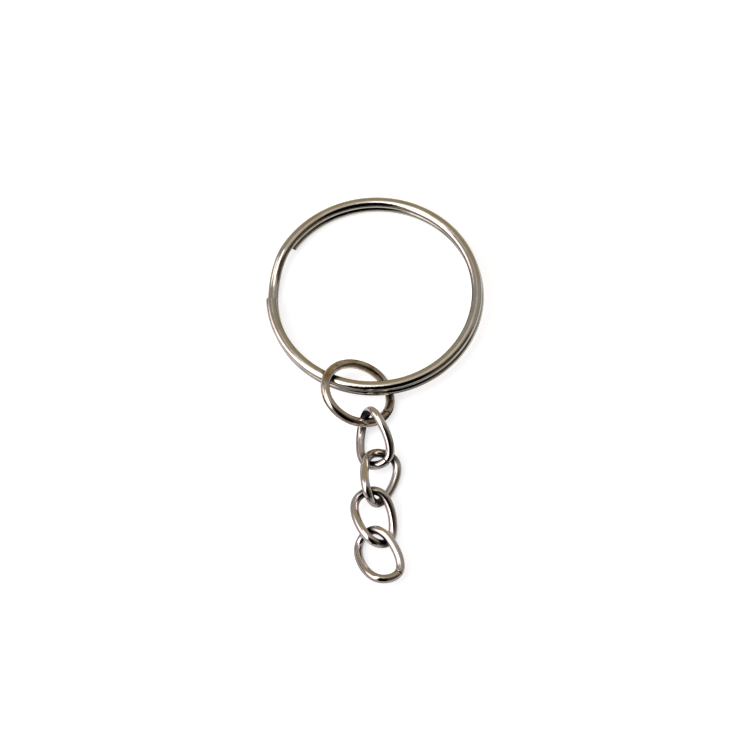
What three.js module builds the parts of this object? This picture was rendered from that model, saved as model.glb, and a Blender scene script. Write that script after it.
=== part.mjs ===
// Split key ring with a jump ring and a short chain of four twisted links, lying on a flat surface.
// Millimetres, +Z up. The chain runs from the split ring towards -Y. The origin is the middle of the
// bottom of the object's box, on the surface it lies on.
import * as THREE from "three";

// Split ring: one flattened wire wound clockwise (seen from above) into nearly two turns. It starts in
// the lower turn, climbs over its own start and ends in the upper turn.
const RING_DIAMETER = 25;
const RING_WIRE_WIDTH = 1.22;
const RING_WIRE_HEIGHT = 1;
const RING_WIRE_FLAT = 0.4;
const RING_TURN_GAP = 0.04;
const RING_TURN_SHIFT = 0.16;
const RING_LOWER_END_AT = 145;
const RING_CLIMB_FROM = 176;
const RING_CLIMB_TO = 148;
const RING_UPPER_END_AT = 182;
const RING_ROLL = 2.5;

// Jump ring: a round wire bent into a slightly oval ring, with a thin slit where its ends meet.
const JUMP_LENGTH = 9.3;
const JUMP_WIDTH = 8.3;
const JUMP_WIRE = 1.05;
const JUMP_SLIT = 0.12;
const JUMP_SLIT_AT = -30;
const JUMP_AROUND_RING = 261;
const JUMP_OUTWARD = 0.64;
const JUMP_TIP_AXIS = 97;

// Chain links: all four alike, an oval of round wire twisted about its long axis, with a butt slit.
const LINK_LENGTH = 7.3;
const LINK_WIDTH = 5.15;
const LINK_WIRE = 1;
const LINK_FULLNESS = 0.15;
const LINK_TWIST = 52;
const LINK_SLIT = 0.1;
const LINK_SLIT_AT = -62;

// How each link lies, in degrees: heading turns it on the surface, pitch lifts its far bend, roll lifts
// its right side. Sideways is where its far bend hangs, in mm, to the right of its hook's lowest point.
const LINK_POSES = [
  { heading: 10.5, pitch: 11, roll: 46, sideways: 1.1 },
  { heading: -15, pitch: -10.5, roll: -35.5, sideways: 1.1 },
  { heading: 16.5, pitch: 7, roll: -13.5, sideways: -0.9 },
  { heading: 26, pitch: -7, roll: 10, sideways: -1.3 },
];

// Clearance left between the surfaces of two pieces that hook into each other.
const HOOK_GAP = 0.1;

// Fineness of the solids.
const RING_STEPS_PER_TURN = 60;
const RING_SIDE_SEGMENTS = 3;
const ROUND_WIRE_SEGMENTS = 6;
const JUMP_STEPS = 56;
const LINK_STEPS = 48;
const CENTRELINE_POINTS = 160;

// Searches for where pieces rest: the jump ring tips in steps of so many degrees, and a link slides in steps
// of so many mm, starting this many wires inside its holder's eye. A link that its holder's eye is too tight
// for is rolled on in larger steps, up to square with its holder.
const TIP_STEP = 0.25;
const HANG_STEP = 0.05;
const HANG_START = 2;
const ROLL_STEP = 5;
const MOST_ROLL = 90;

// Finishes of the plated wire.
const SPLIT_RING_COLOUR = 0xc9c4b8;
const JUMP_RING_COLOUR = 0xbfb7a6;
const LINK_COLOUR = 0xc4beb2;
const PLATE_ROUGHNESS = 0.18;

const FULL_TURN = 360;
const radians = THREE.MathUtils.degToRad;
const UP = new THREE.Vector3(0, 0, 1);

function nickel(colour) {
  return new THREE.MeshStandardMaterial({ color: colour, metalness: 1, roughness: PLATE_ROUGHNESS });
}

// Centreline of the split ring's wire, in the ring's own frame: its axis is Z and its middle plane, halfway
// between the two turns, is Z = 0.
class RingCoil extends THREE.Curve {
  constructor() {
    super();
    this.arcLengthDivisions = 900;
    this.radius = (RING_DIAMETER - RING_TURN_SHIFT - RING_WIRE_WIDTH) / 2;
    this.lowerTurn = RING_LOWER_END_AT + FULL_TURN - RING_CLIMB_FROM;
    this.climb = RING_CLIMB_FROM - RING_CLIMB_TO;
    this.upperTurn = RING_CLIMB_TO + FULL_TURN - RING_UPPER_END_AT;
  }

  sweep() {
    return this.lowerTurn + this.climb + this.upperTurn;
  }

  angle(t) {
    return radians(RING_LOWER_END_AT - this.sweep() * t);
  }

  // -1 in the lower turn, +1 in the upper turn, and a smooth step in the climb between them.
  level(t) {
    const climbed = (this.sweep() * t - this.lowerTurn) / this.climb;
    return 2 * THREE.MathUtils.smoothstep(climbed, 0, 1) - 1;
  }

  getPoint(t, target = new THREE.Vector3()) {
    const angle = this.angle(t);
    const level = this.level(t);
    return target.set(
      this.radius * Math.cos(angle) - (level * RING_TURN_SHIFT) / 2,
      this.radius * Math.sin(angle),
      (level * (RING_WIRE_HEIGHT + RING_TURN_GAP)) / 2,
    );
  }

  // The wire is wound without rolling: its section stays upright, with its width along the radius.
  computeFrenetFrames(segments) {
    const tangents = [];
    const normals = [];
    const binormals = [];
    for (let i = 0; i <= segments; i++) {
      const angle = this.angle(this.getUtoTmapping(i / segments));
      tangents.push(new THREE.Vector3(Math.sin(angle), -Math.cos(angle), 0));
      normals.push(UP.clone());
      binormals.push(new THREE.Vector3().crossVectors(tangents[i], UP));
    }
    return { tangents, normals, binormals };
  }
}

// Centreline of a closed bend of round wire: an oval in the XY plane with its length along Y, cut by a slit
// at one angle. Fullness squares the oval's shoulders, and twist turns its two ends apart about Y.
class WireOval extends THREE.Curve {
  constructor({ length, width, wire, slit, slitAt, fullness, twist }) {
    super();
    this.halfWidth = (width - wire) / 2;
    this.halfLength = (length - wire) / 2;
    this.fullness = fullness;
    this.twist = radians(twist);
    this.start = radians(slitAt);
    this.slitAngle = slit / Math.hypot(
      this.halfWidth * Math.sin(this.start),
      this.halfLength * Math.cos(this.start),
    );
  }

  at(angle, target = new THREE.Vector3()) {
    const c = Math.cos(angle);
    const s = Math.sin(angle);
    const across = this.halfWidth * c * (1 + this.fullness * s * s);
    const along = this.halfLength * s * (1 + this.fullness * c * c);
    const turn = (this.twist * along) / (2 * this.halfLength);
    return target.set(across * Math.cos(turn), along, across * Math.sin(turn));
  }

  getPoint(t, target = new THREE.Vector3()) {
    const cut = this.slitAngle / 2;
    return this.at(THREE.MathUtils.lerp(this.start + cut, this.start + 2 * Math.PI - cut, t), target);
  }
}

// Section of the split ring's wire: flat above and below, with rounded sides. X is its height, Y its width.
function flattenedSection() {
  const section = new THREE.Shape();
  const sideRadius = (RING_WIRE_WIDTH - RING_WIRE_FLAT) / 2;
  const halfHeight = RING_WIRE_HEIGHT / 2;
  section.absellipse(0, RING_WIRE_FLAT / 2, halfHeight, sideRadius, 0, Math.PI, false, 0);
  section.absellipse(0, -RING_WIRE_FLAT / 2, halfHeight, sideRadius, Math.PI, 2 * Math.PI, false, 0);
  section.closePath();
  return section;
}

function roundSection(diameter) {
  const section = new THREE.Shape();
  section.absarc(0, 0, diameter / 2, 0, 2 * Math.PI, false);
  return section;
}

function wireMesh(name, centreline, section, sideSegments, steps, colour) {
  const geometry = new THREE.ExtrudeGeometry(section, {
    extrudePath: centreline,
    steps,
    curveSegments: sideSegments,
  });
  const mesh = new THREE.Mesh(geometry, nickel(colour));
  mesh.name = name;
  mesh.userData.centreline = centreline;
  return mesh;
}

// Points along a piece's centreline, where the piece now lies.
function placedCentreline(mesh) {
  mesh.updateWorldMatrix(true, false);
  return mesh.userData.centreline
    .getPoints(CENTRELINE_POINTS)
    .map((point) => point.applyMatrix4(mesh.matrixWorld));
}

function leastDistance(mesh, otherPoints) {
  let least = Infinity;
  for (const point of placedCentreline(mesh)) {
    for (const other of otherPoints) {
      least = Math.min(least, point.distanceToSquared(other));
    }
  }
  return Math.sqrt(least);
}

// Raises or lowers a piece so that its lowest point is at the given height.
function standAt(mesh, height) {
  const lowest = new THREE.Box3().setFromObject(mesh, true).min.z;
  mesh.position.z += height - lowest;
}

// The split ring lies with its far edge on the surface and its near edge on the jump ring's wire.
function makeSplitRing() {
  const coil = new RingCoil();
  const steps = Math.round((RING_STEPS_PER_TURN * coil.sweep()) / FULL_TURN);
  const ring = wireMesh("split_ring", coil, flattenedSection(), RING_SIDE_SEGMENTS, steps, SPLIT_RING_COLOUR);
  const pitch = Math.asin((JUMP_WIRE + HOOK_GAP) / (RING_DIAMETER - RING_WIRE_WIDTH));
  ring.rotation.set(-pitch, -radians(RING_ROLL), 0);
  standAt(ring, 0);
  return ring;
}

// The jump ring goes over the split ring on its left and under it on its right, and its lowest point is on
// the surface. It tips by the least angle that clears both turns.
function makeJumpRing(ring) {
  const oval = new WireOval({
    length: JUMP_WIDTH,
    width: JUMP_LENGTH,
    wire: JUMP_WIRE,
    slit: JUMP_SLIT,
    slitAt: JUMP_SLIT_AT,
    fullness: 0,
    twist: 0,
  });
  const section = roundSection(JUMP_WIRE);
  const jump = wireMesh("jump_ring", oval, section, ROUND_WIRE_SEGMENTS, JUMP_STEPS, JUMP_RING_COLOUR);
  const around = radians(JUMP_AROUND_RING);
  const reach = (RING_DIAMETER - RING_WIRE_WIDTH) / 2 + JUMP_OUTWARD;
  jump.position.set(reach * Math.cos(around), reach * Math.sin(around), 0);
  const axis = new THREE.Vector3(Math.cos(radians(JUMP_TIP_AXIS)), Math.sin(radians(JUMP_TIP_AXIS)), 0);
  const wanted = (JUMP_WIRE + Math.max(RING_WIRE_WIDTH, RING_WIRE_HEIGHT)) / 2 + HOOK_GAP;
  const ringPoints = placedCentreline(ring);
  let tip = 0;
  do {
    tip += radians(TIP_STEP);
    jump.quaternion.setFromAxisAngle(axis, tip);
    standAt(jump, 0);
  } while (leastDistance(jump, ringPoints) < wanted && tip < Math.PI / 2);
  return jump;
}

// The point of a piece's centreline that is furthest down the chain.
function hookPoint(mesh) {
  return placedCentreline(mesh).reduce((lowest, point) => (point.y < lowest.y ? point : lowest));
}

// Moves a link to where it hangs in its hook: as low as it can lie, then near its own sideways place. There
// it slides down the chain, from well inside the holder's eye, until it comes up against the holder. It says
// whether there is such a place.
function hangIn(link, farBend, hook, sideways, holderPoints, wanted) {
  const lying = link.position.z;
  for (let lift = 0; lift < wanted; lift += HANG_STEP) {
    for (let shift = 0; shift < wanted; shift += HANG_STEP) {
      for (const side of [-shift, shift]) {
        link.position.x = hook.x - farBend.x + sideways + side;
        link.position.z = lying + lift;
        let up = HANG_START * wanted;
        link.position.y = hook.y - farBend.y + up;
        if (leastDistance(link, holderPoints) < wanted) {
          continue;
        }
        while (leastDistance(link, holderPoints) >= wanted) {
          up -= HANG_STEP;
          link.position.y = hook.y - farBend.y + up;
        }
        link.position.y += HANG_STEP;
        return true;
      }
    }
  }
  return false;
}

// Rolls a link by so much more than its pose, lays it on the surface and hangs it in its holder.
function layLink(link, oval, pose, moreRoll, holder, wanted) {
  const roll = pose.roll + moreRoll;
  link.rotation.set(radians(pose.pitch), -radians(roll), radians(pose.heading), "ZXY");
  standAt(link, 0);
  const farBend = new THREE.Vector3(0, oval.halfLength, 0).applyEuler(link.rotation);
  return hangIn(link, farBend, hookPoint(holder), pose.sideways, placedCentreline(holder), wanted);
}

function makeLink(number, holder, holderWire) {
  const oval = new WireOval({
    length: LINK_LENGTH,
    width: LINK_WIDTH,
    wire: LINK_WIRE,
    slit: LINK_SLIT,
    slitAt: LINK_SLIT_AT,
    fullness: LINK_FULLNESS,
    twist: LINK_TWIST,
  });
  const name = "chain_link_" + number;
  const link = wireMesh(name, oval, roundSection(LINK_WIRE), ROUND_WIRE_SEGMENTS, LINK_STEPS, LINK_COLOUR);
  const pose = LINK_POSES[number - 1];
  const wanted = (holderWire + LINK_WIRE) / 2 + HOOK_GAP;
  let moreRoll = 0;
  while (
    !layLink(link, oval, pose, moreRoll, holder, wanted) &&
    !layLink(link, oval, pose, -moreRoll, holder, wanted) &&
    moreRoll < MOST_ROLL
  ) {
    moreRoll += ROLL_STEP;
  }
  return link;
}

function makeKeyRing() {
  const object = new THREE.Group();
  const ring = makeSplitRing();
  const jump = makeJumpRing(ring);
  object.add(ring, jump);
  let holder = jump;
  let holderWire = JUMP_WIRE;
  for (let number = 1; number <= LINK_POSES.length; number++) {
    const link = makeLink(number, holder, holderWire);
    object.add(link);
    holder = link;
    holderWire = LINK_WIRE;
  }
  const box = new THREE.Box3().setFromObject(object, true);
  const middle = box.getCenter(new THREE.Vector3());
  object.position.set(-middle.x, -middle.y, -box.min.z);
  return object;
}

export default makeKeyRing();
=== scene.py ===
"""Split key ring with a jump ring and a chain of four twisted links, lying on a pale floor.

Every piece is one bent wire of bright nickel-plated steel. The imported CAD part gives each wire's place.
This script gives it a smooth surface, its cut ends and its finish, and lights it as a small studio would.
Lengths in the classes are millimetres; meshes are made in metres in the part's own frame.
"""

import logging
from dataclasses import dataclass, field
from enum import Enum

import bpy
import numpy as np
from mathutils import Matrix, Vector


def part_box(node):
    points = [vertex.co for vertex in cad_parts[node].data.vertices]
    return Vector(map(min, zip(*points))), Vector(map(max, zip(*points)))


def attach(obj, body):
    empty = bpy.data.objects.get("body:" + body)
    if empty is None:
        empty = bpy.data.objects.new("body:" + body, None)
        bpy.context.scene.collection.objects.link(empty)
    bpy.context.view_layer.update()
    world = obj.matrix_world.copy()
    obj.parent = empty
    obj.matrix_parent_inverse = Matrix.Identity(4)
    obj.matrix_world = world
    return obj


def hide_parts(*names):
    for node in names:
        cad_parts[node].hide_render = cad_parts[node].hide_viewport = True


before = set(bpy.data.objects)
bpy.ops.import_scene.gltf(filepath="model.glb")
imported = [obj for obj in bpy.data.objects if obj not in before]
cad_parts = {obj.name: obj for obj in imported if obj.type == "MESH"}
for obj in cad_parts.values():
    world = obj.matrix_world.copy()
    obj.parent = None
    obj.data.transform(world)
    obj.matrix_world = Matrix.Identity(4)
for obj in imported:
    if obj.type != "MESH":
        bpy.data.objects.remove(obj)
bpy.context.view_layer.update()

LOG = logging.getLogger("key_ring")
MM = 0.001
FULL_TURN = 2 * np.pi
X_AXIS, Y_AXIS, Z_AXIS = np.eye(3)
# The Mix node's sockets share their names, so they go by number: what a share of 0 gives, what a share of
# 1 gives, and the blend, first for colours and then for numbers.
COLOUR_A, COLOUR_B, COLOUR_OUT = 6, 7, 2
NUMBER_A, NUMBER_B, NUMBER_OUT = 2, 3, 0


class Winding(Enum):
    """The way a coil runs, seen from above."""

    CLOCKWISE = -1
    ANTICLOCKWISE = 1


@dataclass(frozen=True)
class Pose:
    """How a piece is turned before it is put in its place, in degrees.

    The piece is rolled about Y, then pitched about X, then turned about Z.
    """

    heading: float = 0.0
    pitch: float = 0.0
    roll: float = 0.0

    def matrix(self) -> np.ndarray:
        """Return the turn as a 3 by 3 matrix that multiplies column vectors."""
        heading, pitch, roll = np.radians([self.heading, self.pitch, -self.roll])
        about_z = axis_turn(Z_AXIS, heading)
        about_x = axis_turn(X_AXIS, pitch)
        about_y = axis_turn(Y_AXIS, roll)
        return about_z @ about_x @ about_y


def axis_turn(axis: np.ndarray, angle: float) -> np.ndarray:
    """Return the matrix of a turn about an axis.

    The matrix is the identity, plus sine times the axis's cross-product matrix, plus one minus cosine
    times that matrix squared.

    Args:
        axis: Unit vector of the axis.
        angle: Angle in radians, by the right-hand rule.

    Returns:
        A 3 by 3 matrix that multiplies column vectors.
    """
    x, y, z = axis
    cross = np.array([[0, -z, y], [z, 0, -x], [-y, x, 0]])
    return np.eye(3) + np.sin(angle) * cross + (1 - np.cos(angle)) * cross @ cross


def linear(hex_colour: str) -> tuple[float, float, float, float]:
    """Turn an sRGB hex colour into linear RGBA.

    Args:
        hex_colour: Colour such as "#D0C8B8".

    Returns:
        The linear red, green and blue, and an alpha of 1.
    """
    srgb = np.array([int(hex_colour[i : i + 2], 16) for i in (1, 3, 5)]) / 255
    curve = np.where(srgb <= 0.04045, srgb / 12.92, ((srgb + 0.055) / 1.055) ** 2.4)
    return (*map(float, curve), 1.0)


def add_node(
    tree: bpy.types.NodeTree,
    kind: str,
    settings: dict[str, object] | None = None,
    inputs: dict[str | int, object] | None = None,
) -> bpy.types.Node:
    """Add a node with its settings, input values and links.

    Args:
        tree: The node tree it goes into.
        kind: Blender's name for the type of node.
        settings: Values for the node's own properties.
        inputs: For each input, either a value or another node's output socket to link from.

    Returns:
        The new node.
    """
    node = tree.nodes.new(kind)
    for name, value in (settings or {}).items():
        setattr(node, name, value)
    for name, value in (inputs or {}).items():
        if isinstance(value, bpy.types.NodeSocket):
            tree.links.new(value, node.inputs[name])
        else:
            node.inputs[name].default_value = value
    return node


def new_material(name: str) -> bpy.types.Material:
    """Return a new material whose node tree is empty."""
    material = bpy.data.materials.new(name)
    material.use_nodes = True
    material.node_tree.nodes.clear()
    return material


@dataclass(frozen=True)
class NickelPlate:
    """Bright nickel, electroplated on drawn steel wire, with sheared ends that took little plate.

    Nickel is a slightly warm white metal, so the wire mirrors what is round it with a faint straw tint.
    The wire was drawn through a die before plating, which leaves shallow lines along it that stretch the
    highlights. The lines and the pits are drawn coarser than real ones, so that they show. Handling leaves
    a duller film in patches; film and dullness each come in over a span of the noise that makes them.
    The ends show the dark, torn face of the shear, and the hooks, where the wires meet, carry painted shade,
    near black.
    """

    name: str
    clean: str = "#E0DCD6"
    tarnished: str = "#B7A58C"
    tarnish_share: float = 0.35
    sheared: str = "#4B463F"
    sheared_roughness: float = 0.5
    # Painted shade in the hooks, where the wires meet: its near-black colour, its share and its roughness.
    hook_shade: str = "#14110F"
    hook_shade_share: float = 0.9
    hook_shade_roughness: float = 0.15
    roughness: float = 0.05
    film_roughness: float = 0.15
    film_span: tuple[float, float] = (0.42, 0.7)
    dull_span: tuple[float, float] = (0.4, 0.75)
    patch_mm: float = 2.2
    draw_line_mm: float = 0.09
    draw_line_depth_mm: float = 0.0025
    draw_line_stretch: float = 0.06
    ripple_mm: float = 1.6
    ripple_depth_mm: float = 0.02
    pit_mm: float = 0.3
    pit_depth_mm: float = 0.006

    def build(self) -> bpy.types.Material:
        """Return the plated-wire material."""
        material = new_material(self.name)
        tree = material.node_tree
        place = add_node(tree, "ShaderNodeTexCoord").outputs["Object"]
        wire = add_node(tree, "ShaderNodeAttribute", {"attribute_name": "wire_mm"}).outputs["Vector"]
        cut = add_node(tree, "ShaderNodeAttribute", {"attribute_name": "cut_end"}).outputs["Fac"]
        hook_shade_mask = add_node(tree, "ShaderNodeAttribute", {"attribute_name": "hook_shade_mask"}).outputs["Fac"]
        patches = add_node(
            tree,
            "ShaderNodeTexNoise",
            {"noise_dimensions": "3D"},
            {"Vector": place, "Scale": 1 / (self.patch_mm * MM), "Detail": 4.0, "Roughness": 0.55},
        ).outputs["Fac"]
        # Painted shade: the hooks, where one wire meets the next, are darkened to near black.
        hook_shaded = add_node(
            tree, "ShaderNodeMath", {"operation": "MULTIPLY"}, {0: hook_shade_mask, 1: self.hook_shade_share}
        ).outputs[0]
        shader = add_node(
            tree,
            "ShaderNodeBsdfPrincipled",
            {},
            {
                "Base Color": self.colour(tree, patches, hook_shaded, cut),
                "Metallic": 1.0,
                "Roughness": self.dullness(tree, patches, hook_shaded, cut),
                "Normal": self.relief(tree, place, wire),
            },
        ).outputs["BSDF"]
        add_node(tree, "ShaderNodeOutputMaterial", {}, {"Surface": shader})
        return material

    def colour(
        self,
        tree: bpy.types.NodeTree,
        patches: bpy.types.NodeSocket,
        hook_shaded: bpy.types.NodeSocket,
        cut: bpy.types.NodeSocket,
    ) -> bpy.types.NodeSocket:
        """Add the colour: clean plate, film in patches, painted shade in the hooks and bare steel at the
        ends.

        Args:
            tree: The material's node tree.
            patches: The noise that makes the patches of film.
            hook_shaded: How much painted shade there is in the hooks, from 0 to 1.
            cut: 1 at a sheared end and 0 on the plated wire.

        Returns:
            The colour.
        """
        start, full = self.film_span
        film = add_node(
            tree,
            "ShaderNodeMapRange",
            {"clamp": True},
            {"Value": patches, "From Min": start, "From Max": full, "To Max": self.tarnish_share},
        ).outputs["Result"]
        colour = linear(self.clean)
        # Film and bare ends are the metal's own colour; the hook mark is painted shade.
        for share, cover in ((film, self.tarnished), (hook_shaded, self.hook_shade), (cut, self.sheared)):
            inputs = {0: share, COLOUR_A: colour, COLOUR_B: linear(cover)}
            colour = add_node(tree, "ShaderNodeMix", {"data_type": "RGBA"}, inputs).outputs[COLOUR_OUT]
        return colour

    def dullness(
        self,
        tree: bpy.types.NodeTree,
        patches: bpy.types.NodeSocket,
        hook_shaded: bpy.types.NodeSocket,
        cut: bpy.types.NodeSocket,
    ) -> bpy.types.NodeSocket:
        """Add the roughness, which is greater under the film and in the painted shade of the hooks, and
        greatest at the ends.

        Args:
            tree: The material's node tree.
            patches: The noise that makes the patches of film.
            hook_shaded: How much painted shade there is in the hooks, from 0 to 1.
            cut: 1 at a sheared end and 0 on the plated wire.

        Returns:
            The roughness.
        """
        start, full = self.dull_span
        roughness = add_node(
            tree,
            "ShaderNodeMapRange",
            {"clamp": True},
            {
                "Value": patches,
                "From Min": start,
                "From Max": full,
                "To Min": self.roughness,
                "To Max": self.film_roughness,
            },
        ).outputs["Result"]
        for share, cover in ((hook_shaded, self.hook_shade_roughness), (cut, self.sheared_roughness)):
            inputs = {0: share, NUMBER_A: roughness, NUMBER_B: cover}
            roughness = add_node(tree, "ShaderNodeMix", {"data_type": "FLOAT"}, inputs).outputs[NUMBER_OUT]
        return roughness

    def relief(
        self,
        tree: bpy.types.NodeTree,
        place: bpy.types.NodeSocket,
        wire: bpy.types.NodeSocket,
    ) -> bpy.types.NodeSocket:
        """Add the relief: broad ripples, then the draw lines along the wire, then the pits.

        Args:
            tree: The material's node tree.
            place: The point on the object, in metres.
            wire: The place on the wire in mm, with the way along it first.

        Returns:
            The normal of the surface with its relief.
        """
        stretched = add_node(
            tree,
            "ShaderNodeMapping",
            {"vector_type": "POINT"},
            {"Vector": wire, "Scale": (self.draw_line_stretch, 1.0, 1.0)},
        ).outputs["Vector"]
        layers = (
            (place, self.ripple_mm * MM, 1.0, 0.5, self.ripple_depth_mm),
            (stretched, self.draw_line_mm, 2.0, 0.5, self.draw_line_depth_mm),
            (place, self.pit_mm * MM, 3.0, 0.6, self.pit_depth_mm),
        )
        under = {}
        for at, size, detail, harshness, depth_mm in layers:
            height = add_node(
                tree,
                "ShaderNodeTexNoise",
                {"noise_dimensions": "3D"},
                {"Vector": at, "Scale": 1 / size, "Detail": detail, "Roughness": harshness},
            ).outputs["Fac"]
            inputs = {"Height": height, "Distance": depth_mm * MM, "Strength": 1.0, **under}
            under = {"Normal": add_node(tree, "ShaderNodeBump", {}, inputs).outputs["Normal"]}
        return under["Normal"]


@dataclass(frozen=True)
class PaleBoard:
    """Matt white card, lit a little from below as on a light table: an almost even white with no gloss.

    Only in reflections, the card carries painted light and shade: the metal mirrors it as light grey under
    and round the split ring, a painted pool of light, as a painted dark shade in the middle of the ring and
    just before it, and as a painted middle-grey shade under the chain.
    """

    colour: str = "#F8FAFD"
    roughness: float = 0.9
    glow: float = 0.66
    # Painted light and shade that only reflections see, placed by distance from the ring's middle and by Y.
    mirrored_painted_light: str = "#D2D1CC"
    mirrored_painted_shade: str = "#24221F"
    mirrored_painted_chain_shade: str = "#B0ABA9"
    ring_middle_mm: tuple[float, float, float] = (0.0, 11.5, 0.0)
    shade_radius_mm: tuple[float, float] = (7.2, 9.2)
    shade_before_mm: tuple[float, float] = (-1.0, -2.2)
    chain_before_mm: tuple[float, float] = (-4.0, -6.5)

    def build(self) -> bpy.types.Material:
        """Return the card material."""
        material = new_material("matt_white_card")
        tree = material.node_tree
        shader = add_node(
            tree,
            "ShaderNodeBsdfPrincipled",
            {},
            {
                "Base Color": linear(self.colour),
                "Roughness": self.roughness,
                "Specular IOR Level": 0.0,
                "Emission Color": linear(self.colour),
                "Emission Strength": self.glow,
            },
        ).outputs["BSDF"]
        place = add_node(tree, "ShaderNodeTexCoord").outputs["Object"]
        along = add_node(tree, "ShaderNodeSeparateXYZ", {}, {0: place}).outputs["Y"]
        middle = tuple(length * MM for length in self.ring_middle_mm)
        from_middle = add_node(
            tree, "ShaderNodeVectorMath", {"operation": "DISTANCE"}, {0: place, 1: middle}
        ).outputs["Value"]
        # The tone is painted light and shade: light grey round the ring, dark shade inside it and just
        # before it, and middle-grey shade under the chain.
        tone = linear(self.mirrored_painted_shade)
        for measure, (start, full), colour in (
            (from_middle, self.shade_radius_mm, self.mirrored_painted_light),
            (along, self.shade_before_mm, self.mirrored_painted_shade),
            (along, self.chain_before_mm, self.mirrored_painted_chain_shade),
        ):
            share = add_node(
                tree,
                "ShaderNodeMapRange",
                {"interpolation_type": "SMOOTHSTEP"},
                {"Value": measure, "From Min": start * MM, "From Max": full * MM},
            ).outputs["Result"]
            inputs = {0: share, COLOUR_A: tone, COLOUR_B: linear(colour)}
            tone = add_node(tree, "ShaderNodeMix", {"data_type": "RGBA"}, inputs).outputs[COLOUR_OUT]
        # Glossy rays see this painted tone instead of the card's even white.
        mirrored = add_node(tree, "ShaderNodeEmission", {}, {"Color": tone}).outputs[0]
        glossy = add_node(tree, "ShaderNodeLightPath").outputs["Is Glossy Ray"]
        surface = add_node(tree, "ShaderNodeMixShader", {}, {0: glossy, 1: shader, 2: mirrored}).outputs[0]
        add_node(tree, "ShaderNodeOutputMaterial", {}, {"Surface": surface})
        return material


def surface_object(
    name: str, points: np.ndarray, wire: np.ndarray, material: bpy.types.Material
) -> bpy.types.Object:
    """Make a closed object from rings of points, with both ends closed by a fan to their middle point.

    Args:
        name: The piece's name.
        points: Ring by ring, an array of rings by points round by 3, in metres. Each ring runs
            anticlockwise seen from the end of the wire, looking back along it.
        wire: For each point, its place on the wire in mm: along it, and the two offsets from its middle.
        material: The piece's finish.

    Returns:
        The new object, at the origin.
    """
    rings, around = points.shape[:2]
    ring = np.arange(rings - 1)[:, None] * around
    here = np.arange(around)[None, :]
    there = (here + 1) % around
    corners = [ring + here, ring + there, ring + around + there, ring + around + here]
    quads = np.stack(corners, -1).reshape(-1, 4)
    first, last = rings * around, rings * around + 1
    start = np.stack([np.full(around, first), there[0], here[0]], -1)
    base = (rings - 1) * around
    end = np.stack([np.full(around, last), base + here[0], base + there[0]], -1)
    middles = np.stack([points[0].mean(0), points[-1].mean(0)])
    wire_middles = np.stack([wire[0].mean(0), wire[-1].mean(0)])
    vertices = np.concatenate([points.reshape(-1, 3), middles])
    wire_all = np.concatenate([wire.reshape(-1, 3), wire_middles])
    mesh = bpy.data.meshes.new(name)
    mesh.from_pydata(vertices.tolist(), [], quads.tolist() + start.tolist() + end.tolist())
    attribute = mesh.attributes.new("wire_mm", "FLOAT_VECTOR", "POINT")
    attribute.data.foreach_set("vector", wire_all.astype(np.float32).ravel())
    cut = np.zeros(len(vertices), np.float32)
    cut[:around] = cut[base:] = 1.0
    cut_attribute = mesh.attributes.new("cut_end", "FLOAT", "POINT")
    cut_attribute.data.foreach_set("value", cut)
    mesh.polygons.foreach_set("use_smooth", np.ones(len(mesh.polygons), bool))
    mesh.materials.append(material)
    mesh.update()
    piece = bpy.data.objects.new(name, mesh)
    bpy.context.scene.collection.objects.link(piece)
    return piece


def place_in_box(points: np.ndarray, node: str) -> np.ndarray:
    """Move turned points, in metres, so that the middle of their box is the middle of a CAD node's box.

    Args:
        points: Array whose last axis is X, Y and Z.
        node: Name of the CAD node that the points stand for.

    Returns:
        The moved points.
    """
    low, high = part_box(node)
    wanted = (np.array(low) + np.array(high)) / 2
    flat = points.reshape(-1, 3)
    return points + wanted - (flat.min(0) + flat.max(0)) / 2


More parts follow.
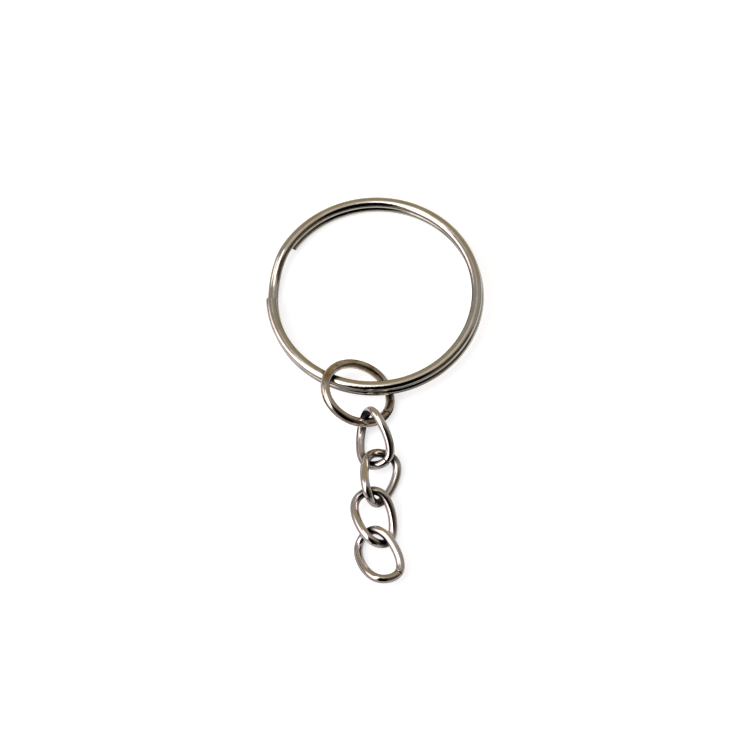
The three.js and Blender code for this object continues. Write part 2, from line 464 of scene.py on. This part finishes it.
@dataclass(kw_only=True)
class BentWire:
    """A wire of one section bent along a centreline and cut off square, with softened ends.

    The lengths are in mm. build() fills in the piece and where its points are placed, in metres.
    """

    node: str
    finish: bpy.types.Material
    slot: str
    pose: np.ndarray = field(default_factory=lambda: np.eye(3))
    samples: int = 4001
    steps: int = 480
    around: int = 48
    end_round: float = 0.12
    end_loss: float = 0.06
    end_rings: int = 7
    hook_shade_from: float = 1.5
    hook_shade_full: float = 0.85
    hook_shade_stride: int = 3
    piece: bpy.types.Object = field(init=False)
    placed: np.ndarray = field(init=False)

    def centreline(self, t: np.ndarray) -> np.ndarray:
        """Return the centreline's points for parameters from 0 to 1."""
        raise NotImplementedError

    def section(self, angle: np.ndarray) -> np.ndarray:
        """Return the section's two offsets in mm for angles round the wire."""
        raise NotImplementedError

    def cross_axes(self, t: np.ndarray, tangent: np.ndarray) -> tuple[np.ndarray, np.ndarray]:
        """Return the two directions across the wire at each parameter, as unit vectors."""
        raise NotImplementedError

    def shrink(self, places: np.ndarray, length: float) -> np.ndarray:
        """Return how wide the section is along the wire, as a share of its full width.

        Over the length of each end's rounding it narrows as a quarter ellipse: the share lost is the
        loss at the cut, times one minus the root of 1 - (1 - distance from the cut / rounding) squared.

        Args:
            places: Distances along the wire in mm.
            length: The wire's length in mm.

        Returns:
            The share for each place.
        """
        from_end = np.minimum(places, length - places)
        short = np.clip(1 - from_end / self.end_round, 0, 1)
        return 1 - self.end_loss * (1 - np.sqrt(np.clip(1 - short**2, 0, 1)))

    def build(self) -> bpy.types.Object:
        """Sweep the section along the centreline and put the piece in its place.

        A surface point is the centreline's point, plus the first offset times the first cross direction,
        plus the second offset times the second.

        Returns:
            The finished piece.
        """
        t = np.linspace(0, 1, self.samples)
        line = self.centreline(t)
        gone = np.concatenate([[0], np.cumsum(np.linalg.norm(np.diff(line, axis=0), axis=1))])
        length = float(gone[-1])
        ends = self.end_round * (1 - np.cos(np.linspace(0, np.pi / 2, self.end_rings)))
        middle = np.linspace(self.end_round, length - self.end_round, self.steps)
        places = np.concatenate([ends[:-1], middle, length - ends[:-1][::-1]])
        t = np.interp(places, gone, t)
        line = self.centreline(t)
        tangent = np.gradient(line, t, axis=0)
        tangent /= np.linalg.norm(tangent, axis=1, keepdims=True)
        first, second = self.cross_axes(t, tangent)
        offsets = self.section(np.linspace(0, FULL_TURN, self.around, endpoint=False))
        share = self.shrink(places, length)[:, None, None]
        spread = offsets[None] * share
        points = line[:, None] + spread[..., :1] * first[:, None] + spread[..., 1:] * second[:, None]
        along = np.broadcast_to(places[:, None, None], spread.shape[:2] + (1,))
        wire = np.concatenate([along, spread], -1)
        self.placed = place_in_box(points @ self.pose.T * MM, self.node)
        self.piece = surface_object(f"{self.node}_wire", self.placed, wire, self.finish)
        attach(self.piece, self.node)
        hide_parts(self.node)
        return self.piece

    def paint_hook_shade(self, neighbours: list["BentWire"]) -> None:
        """Mark where shade is painted, as an attribute: close to the middle of a wire that this one hooks.

        The mark rises from 0 at the outer distance to 1 at the inner one, as three times the square of
        the share gone, less twice its cube. The square of the distance between two points is the first's
        square, plus the second's, less twice their product. The two end middles have no mark.

        Args:
            neighbours: The wires that hook into this one, already built.
        """
        # The mark says where shade is painted: near the middle of the wires that this one hooks.
        points = self.placed.reshape(-1, 3) / MM
        nearest = np.full(len(points), np.inf)
        for neighbour in neighbours:
            line = neighbour.placed.mean(1)[:: self.hook_shade_stride] / MM
            squares = (points**2).sum(1)[:, None] + (line**2).sum(1) - 2 * points @ line.T
            nearest = np.minimum(nearest, np.sqrt(np.maximum(squares.min(1), 0)))
        share = np.clip((self.hook_shade_from - nearest) / (self.hook_shade_from - self.hook_shade_full), 0, 1)
        mark = np.concatenate([share**2 * (3 - 2 * share), [0, 0]]).astype(np.float32)
        self.piece.data.attributes.new("hook_shade_mask", "FLOAT", "POINT").data.foreach_set("value", mark)


@dataclass(kw_only=True)
class SplitRing(BentWire):
    """Flat spring-steel wire wound clockwise into nearly two turns that lie one on the other.

    The wire starts in the lower turn, climbs over its own start and ends in the upper turn. Its section
    is a superellipse, whose faces are the flatter the higher its squareness is.
    """

    node: str = "split_ring"
    diameter: float = 25.0
    wire_width: float = 1.22
    wire_height: float = 1.0
    squareness: float = 2.15
    turn_gap: float = 0.04
    turn_shift: float = 0.16
    lower_end_at: float = 145.0
    climb_from: float = 176.0
    climb_to: float = 148.0
    upper_end_at: float = 182.0
    winding: Winding = Winding.CLOCKWISE
    steps: int = 1400
    around: int = 56

    def angle(self, t: np.ndarray) -> np.ndarray:
        """Return the angle round the ring's axis, in radians, which changes evenly along the wire."""
        turned = 2 * 360 - (self.climb_from - self.lower_end_at) - (self.upper_end_at - self.climb_from)
        return np.radians(self.lower_end_at + self.winding.value * turned * t)

    def level(self, t: np.ndarray) -> np.ndarray:
        """Return -1 in the lower turn and +1 in the upper, with a smooth step in the climb between them.

        The step is three times the square of the share climbed, less twice its cube.

        Args:
            t: Parameters from 0 to 1.

        Returns:
            The level for each parameter.
        """
        gone = np.degrees(np.abs(self.angle(t) - self.angle(np.zeros(1))))
        climb_start = self.lower_end_at + 360 - self.climb_from
        climbed = np.clip((gone - climb_start) / (self.climb_from - self.climb_to), 0, 1)
        return 2 * climbed**2 * (3 - 2 * climbed) - 1

    def centreline(self, t: np.ndarray) -> np.ndarray:
        """Return the coil.

        It is a circle in plan. In each level's turn it is moved sideways by half the turns' shift, and up
        or down by half of a wire's height and the gap between the turns.

        Args:
            t: Parameters from 0 to 1.

        Returns:
            Points in mm, one row for each parameter.
        """
        radius = (self.diameter - self.turn_shift - self.wire_width) / 2
        angle, level = self.angle(t), self.level(t)
        shift = level * self.turn_shift / 2
        lift = level * (self.wire_height + self.turn_gap) / 2
        return np.stack([radius * np.cos(angle) - shift, radius * np.sin(angle), lift], -1)

    def section(self, angle: np.ndarray) -> np.ndarray:
        """Return the superellipse.

        Each offset is its half size times the cosine or sine, raised to the power 2 / squareness.

        Args:
            angle: Angles round the wire in radians.

        Returns:
            The upward and inward offsets in mm, one row for each angle.
        """
        half_sizes = np.array([self.wire_height, self.wire_width]) / 2
        shape = np.stack([np.cos(angle), np.sin(angle)], -1)
        return half_sizes * np.sign(shape) * np.abs(shape) ** (2 / self.squareness)

    def cross_axes(self, t: np.ndarray, tangent: np.ndarray) -> tuple[np.ndarray, np.ndarray]:
        """Return straight up and straight in to the ring's axis: the wire doesn't roll as it is wound."""
        angle = self.angle(t)
        up = np.broadcast_to([0.0, 0.0, 1.0], tangent.shape)
        inward = -np.stack([np.cos(angle), np.sin(angle), np.zeros_like(angle)], -1)
        return up, inward


@dataclass(kw_only=True)
class RoundWireOval(BentWire):
    """Round wire bent into an oval whose ends nearly meet at a thin slit."""

    length: float = 7.3
    width: float = 5.15
    wire: float = 1.0
    fullness: float = 0.15
    twist: float = 52.0
    slit: float = 0.1
    slit_at: float = -62.0

    def turned(self, angle: np.ndarray) -> tuple[np.ndarray, np.ndarray, np.ndarray]:
        """Return the oval's two distances from its middle and how far it is twisted there.

        Across is half the width times cosine, and along is half the length times sine, each fuller towards
        its shoulders by the fullness times the other's square. The twist grows evenly along the length.

        Args:
            angle: Angles round the oval in radians.

        Returns:
            The distance across, the distance along and the twist in radians.
        """
        c, s = np.cos(angle), np.sin(angle)
        half_length = (self.length - self.wire) / 2
        across = (self.width - self.wire) / 2 * c * (1 + self.fullness * s**2)
        along = half_length * s * (1 + self.fullness * c**2)
        return across, along, np.radians(self.twist) * along / (2 * half_length)

    def angle(self, t: np.ndarray) -> np.ndarray:
        """Return angles from one side of the slit round to the other."""
        start = np.radians(self.slit_at)
        reach = np.hypot(
            (self.width - self.wire) / 2 * np.sin(start), (self.length - self.wire) / 2 * np.cos(start)
        )
        cut = self.slit / reach / 2
        return start + cut + (FULL_TURN - 2 * cut) * t

    def centreline(self, t: np.ndarray) -> np.ndarray:
        """Return the twisted oval: its length along Y, its width turned out of X by the twist."""
        across, along, turn = self.turned(self.angle(t))
        return np.stack([across * np.cos(turn), along, across * np.sin(turn)], -1)

    def section(self, angle: np.ndarray) -> np.ndarray:
        """Return a circle's two offsets in mm."""
        return np.stack([np.cos(angle), np.sin(angle)], -1) * self.wire / 2

    def cross_axes(self, t: np.ndarray, tangent: np.ndarray) -> tuple[np.ndarray, np.ndarray]:
        """Return the oval's own upright, squared to the wire, and the direction that completes the set.

        Args:
            t: Parameters from 0 to 1.
            tangent: Unit tangents at those parameters.

        Returns:
            Two unit vectors across the wire for each parameter.
        """
        turn = self.turned(self.angle(t))[2]
        upright = np.stack([-np.sin(turn), np.zeros_like(turn), np.cos(turn)], -1)
        first = upright - (upright * tangent).sum(1, keepdims=True) * tangent
        first /= np.linalg.norm(first, axis=1, keepdims=True)
        return first, np.cross(tangent, first)


@dataclass(kw_only=True)
class JumpRing(RoundWireOval):
    """The round ring that joins the chain to the split ring, a little longer across than along."""

    node: str = "jump_ring"
    length: float = 8.3
    width: float = 9.3
    wire: float = 1.05
    fullness: float = 0.0
    twist: float = 0.0
    slit: float = 0.12
    slit_at: float = -30.0


@dataclass(kw_only=True)
class ChainLink(RoundWireOval):
    """One twisted link of the chain; all four are alike."""


@dataclass(frozen=True)
class KeyRing:
    """The whole object: split ring, jump ring and chain.

    The near side of the split ring is up on the jump ring's wire, a small gap above it. Gaps are in mm
    and angles in degrees.
    """

    lift_gap: float = 0.1
    ring_roll: float = 2.5
    jump_tip_axis: float = 97.0
    jump_tip: float = 26.5
    link_poses: tuple[Pose, ...] = (
        Pose(heading=10.5, pitch=11, roll=46),
        Pose(heading=-15, pitch=-10.5, roll=-35.5),
        Pose(heading=16.5, pitch=7, roll=-13.5),
        Pose(heading=26, pitch=-7, roll=10),
    )

    def ring_pose(self) -> np.ndarray:
        """Return how the split ring lies: near side lifted, and rolled a little to its left."""
        lift = np.arcsin((JumpRing.wire + self.lift_gap) / (SplitRing.diameter - SplitRing.wire_width))
        return axis_turn(X_AXIS, -lift) @ axis_turn(Y_AXIS, -np.radians(self.ring_roll))

    def jump_pose(self) -> np.ndarray:
        """Return how the jump ring lies: tipped about a level axis."""
        heading = np.radians(self.jump_tip_axis)
        return axis_turn(np.array([np.cos(heading), np.sin(heading), 0]), np.radians(self.jump_tip))

    def build(self) -> None:
        """Build each piece in order, from the split ring to the chain's end, then paint shade into their
        hooks.
        """
        ring_finish = NickelPlate("nickel_plate_split_ring").build()
        jump_finish = NickelPlate(
            "nickel_plate_jump_ring", clean="#E0D8CB", tarnished="#9C7C50", tarnish_share=0.8, patch_mm=1.5
        ).build()
        chain_finish = NickelPlate("nickel_plate_chain", clean="#E8E3E2", tarnish_share=0.3).build()
        pieces = [
            SplitRing(finish=ring_finish, slot="split_ring_nickel", pose=self.ring_pose()),
            JumpRing(finish=jump_finish, slot="jump_ring_nickel", pose=self.jump_pose()),
        ]
        for number, pose in enumerate(self.link_poses, 1):
            node = f"chain_link_{number}"
            link = ChainLink(node=node, finish=chain_finish, slot="chain_nickel", pose=pose.matrix())
            pieces.append(link)
        for wire in pieces:
            piece = wire.build()
            LOG.info("%s: %d faces", piece.name, len(piece.data.polygons))
        # Paint shade into each wire where it hooks the one before it and the one after it.
        for place, wire in enumerate(pieces):
            wire.paint_hook_shade(pieces[max(place - 1, 0) : place] + pieces[place + 1 : place + 2])


@dataclass(frozen=True)
class Panel:
    """A soft panel of light or a dull wall, as seen from the object.

    It is an ellipsoid round a point of the unit sphere of directions, fading out over its rim.
    """

    toward: tuple[float, float, float]
    reach: tuple[float, float, float]
    colour: str
    strength: float
    rim: float = 0.15


@dataclass
class Studio:
    """A white floor, a surround of soft panels and dark gaps, and the camera. Lengths are in metres."""

    surround: str = "#9A948D"
    panels: tuple[Panel, ...] = (
        Panel((0.15, 0.9, 0.42), (0.75, 0.5, 0.42), "#A3926C", 0.95),
        Panel((0.0, 0.2, 0.98), (0.35, 0.38, 0.2), "#CEC4B6", 1.0),
        Panel((0.72, -0.45, 0.6), (0.55, 0.58, 0.6), "#4A4334", 1.0),
        Panel((0.1, -0.75, 0.6), (0.5, 0.85, 0.8), "#030303", 1.0),
        Panel((-0.8, -0.22, 0.5), (0.42, 0.58, 0.42), "#FFEFEC", 1.9, 0.25),
        Panel((-1.0, 0.0, 0.05), (0.4, 1.0, 0.13), "#1C1511", 1.0, 0.4),
        Panel((1.0, 0.0, 0.05), (0.4, 1.0, 0.13), "#1A1712", 1.0, 0.4),
        Panel((-0.2, 0.12, 0.97), (0.15, 0.2, 0.2), "#FFFFFF", 2.2, 0.3),
        Panel((-0.42, -0.13, 0.9), (0.23, 0.24, 0.3), "#FFFDFC", 3.2, 0.3),
        Panel((-0.56, -0.36, 0.74), (0.24, 0.24, 0.28), "#FFF4F6", 2.8, 0.3),
    )
    backdrop: float = 0.95
    floor_side: float = 4.0
    floor_gap: float = 0.00002
    elevation: float = 66.9
    distance: float = 0.6
    view_width: float = 0.0855
    aim: tuple[float, float, float] = (0.0, 0.0, 0.001)
    drop: float = 0.001775
    clip: tuple[float, float] = (0.01, 20.0)

    def build(self) -> None:
        """Build the floor, the surround and the camera."""
        self.build_floor()
        self.build_surround()
        self.build_camera()

    def build_floor(self) -> None:
        """Lay the floor a hair below the object."""
        half, height = self.floor_side / 2, -self.floor_gap
        corners = [(x * half, y * half, height) for x, y in ((-1, -1), (1, -1), (1, 1), (-1, 1))]
        mesh = bpy.data.meshes.new("floor")
        mesh.from_pydata(corners, [], [(0, 1, 2, 3)])
        mesh.materials.append(PaleBoard().build())
        floor = bpy.data.objects.new("floor", mesh)
        bpy.context.scene.collection.objects.link(floor)

    def build_surround(self) -> None:
        """Light the scene from a world that holds the panels; the camera sees it as a pale backdrop."""
        world = bpy.data.worlds.new("studio")
        bpy.context.scene.world = world
        world.use_nodes = True
        tree = world.node_tree
        tree.nodes.clear()
        direction = add_node(tree, "ShaderNodeTexCoord").outputs["Generated"]
        light = linear(self.surround)
        for panel in self.panels:
            inverse = tuple(1 / reach for reach in panel.reach)
            away = add_node(
                tree, "ShaderNodeVectorMath", {"operation": "SUBTRACT"}, {0: direction, 1: panel.toward}
            ).outputs["Vector"]
            scaled = add_node(
                tree, "ShaderNodeVectorMath", {"operation": "MULTIPLY"}, {0: away, 1: inverse}
            ).outputs["Vector"]
            far = add_node(
                tree, "ShaderNodeVectorMath", {"operation": "LENGTH"}, {0: scaled}
            ).outputs["Value"]
            share = add_node(
                tree,
                "ShaderNodeMapRange",
                {"interpolation_type": "SMOOTHSTEP"},
                {"Value": far, "From Min": 1 + panel.rim, "From Max": 1 - panel.rim},
            ).outputs["Result"]
            colour = tuple(channel * panel.strength for channel in linear(panel.colour)[:3]) + (1.0,)
            inputs = {0: share, COLOUR_A: light, COLOUR_B: colour}
            light = add_node(tree, "ShaderNodeMix", {"data_type": "RGBA"}, inputs).outputs[COLOUR_OUT]
        seen = add_node(tree, "ShaderNodeLightPath").outputs["Is Camera Ray"]
        inputs = {0: seen, COLOUR_A: light, COLOUR_B: (self.backdrop, self.backdrop, self.backdrop, 1.0)}
        shown = add_node(tree, "ShaderNodeMix", {"data_type": "RGBA"}, inputs).outputs[COLOUR_OUT]
        background = add_node(
            tree, "ShaderNodeBackground", {}, {"Color": shown, "Strength": 1.0}
        ).outputs["Background"]
        add_node(tree, "ShaderNodeOutputWorld", {}, {"Surface": background})

    def build_camera(self) -> None:
        """Point the camera down at the object and raise it along its own upright, so the object sits low."""
        elevation = np.radians(self.elevation)
        back = np.array([0, -np.cos(elevation), np.sin(elevation)])
        upright = np.array([0, np.sin(elevation), np.cos(elevation)])
        data = bpy.data.cameras.new("camera")
        data.lens = data.sensor_width * self.distance / self.view_width
        data.clip_start, data.clip_end = self.clip
        camera = bpy.data.objects.new("camera", data)
        camera.location = np.array(self.aim) + back * self.distance + upright * self.drop
        camera.rotation_euler = (np.pi / 2 - elevation, 0, 0)
        bpy.context.scene.collection.objects.link(camera)
        bpy.context.scene.camera = camera


def main() -> None:
    """Build the key ring and its studio, in order."""
    logging.basicConfig(level=logging.INFO, format="%(message)s")
    bpy.context.scene.view_settings.view_transform = "Standard"
    KeyRing().build()
    Studio().build()


if __name__ == "__main__":
    main()
